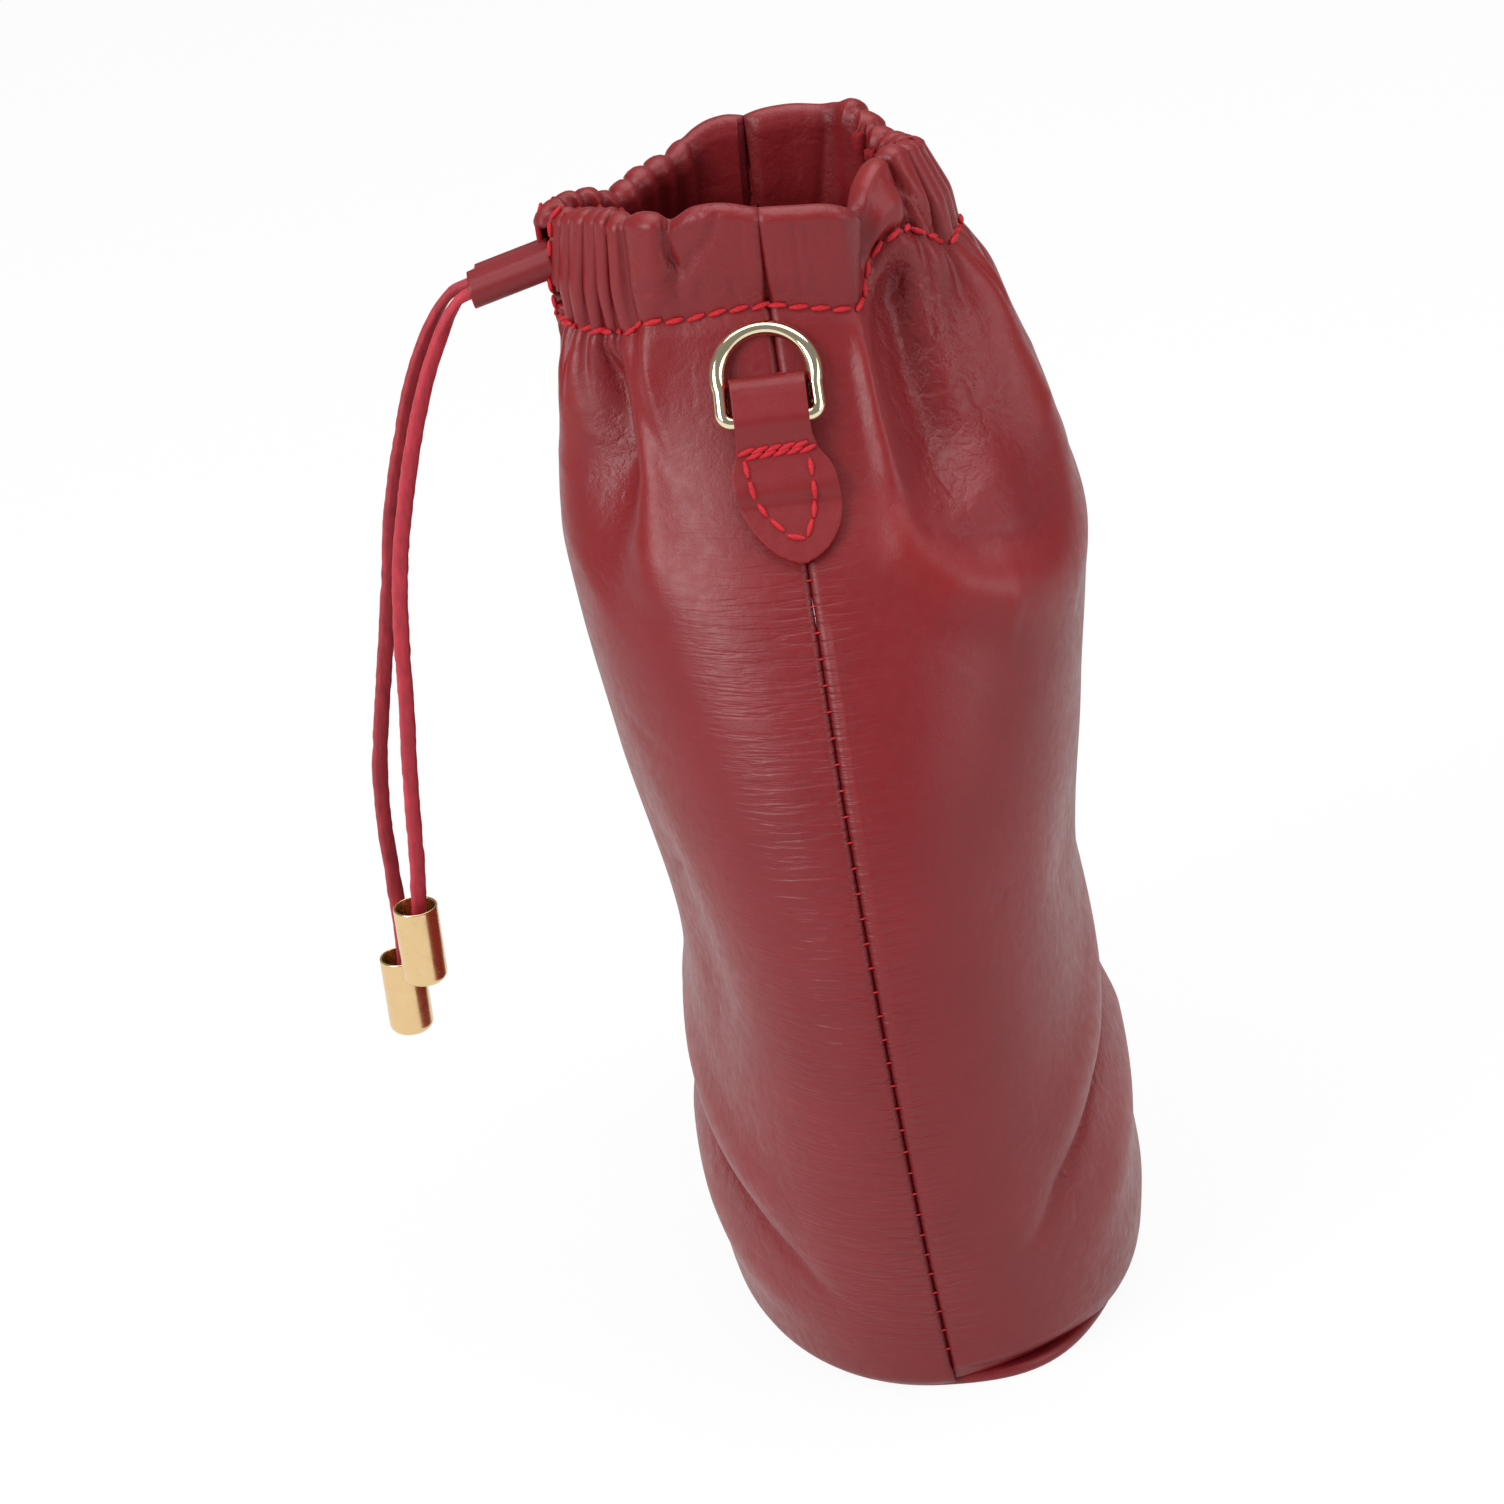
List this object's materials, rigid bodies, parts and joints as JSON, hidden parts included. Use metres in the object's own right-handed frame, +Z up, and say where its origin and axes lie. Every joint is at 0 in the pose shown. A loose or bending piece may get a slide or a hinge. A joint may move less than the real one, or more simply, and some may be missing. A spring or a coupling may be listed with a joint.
{
  "type": "drawstring pouch",
  "caption": "Gathered leather drawstring pouch on an oval base, with a lace in a rim channel, a sliding cord lock, metal lace ends and a D-ring on a leather tab at each side.",
  "frame": {"origin": "middle of the base's underside, on the surface that the pouch stands on", "axes": "+Z up; X is the broad width, with a D-ring tab at each end; the laces leave the front at -Y"},
  "size_m": [0.152, 0.1431, 0.222],
  "materials": {
    "oxblood_leather": "smooth calf leather, satin",
    "red_lace": "flat leather lace with raw red edges",
    "pale_gold": "polished pale gold plating",
    "warm_gold": "satin gold plating"
  },
  "bodies": {
    "pouch": {"front_panel": "oxblood_leather", "back_panel": "oxblood_leather", "base_panel": "oxblood_leather", "side_tab_right": "oxblood_leather", "side_tab_left": "oxblood_leather", "drawcord": "red_lace"},
    "ring_right": {"d_ring_right": "pale_gold"},
    "ring_left": {"d_ring_left": "pale_gold"},
    "slider": {"cord_slider": "oxblood_leather", "ferrule_front": "warm_gold", "ferrule_back": "warm_gold"}
  },
  "joints": [
    {"name": "ring_right_swing", "type": "hinge", "parent": "pouch", "child": "ring_right", "pos_m": [0.03805, -0.01306, 0.18574], "axis": [0, 1, 0], "range_deg": [0, 160]},
    {"name": "ring_left_swing", "type": "hinge", "parent": "pouch", "child": "ring_left", "pos_m": [-0.03805, -0.01306, 0.18574], "axis": [0, -1, 0], "range_deg": [0, 160]},
    {"name": "slider_slide", "type": "slide", "parent": "pouch", "child": "slider", "axis": [0, -0.9659, -0.2588], "range_m": [0, 0.04], "deforming": ["drawcord"]}
  ]
}
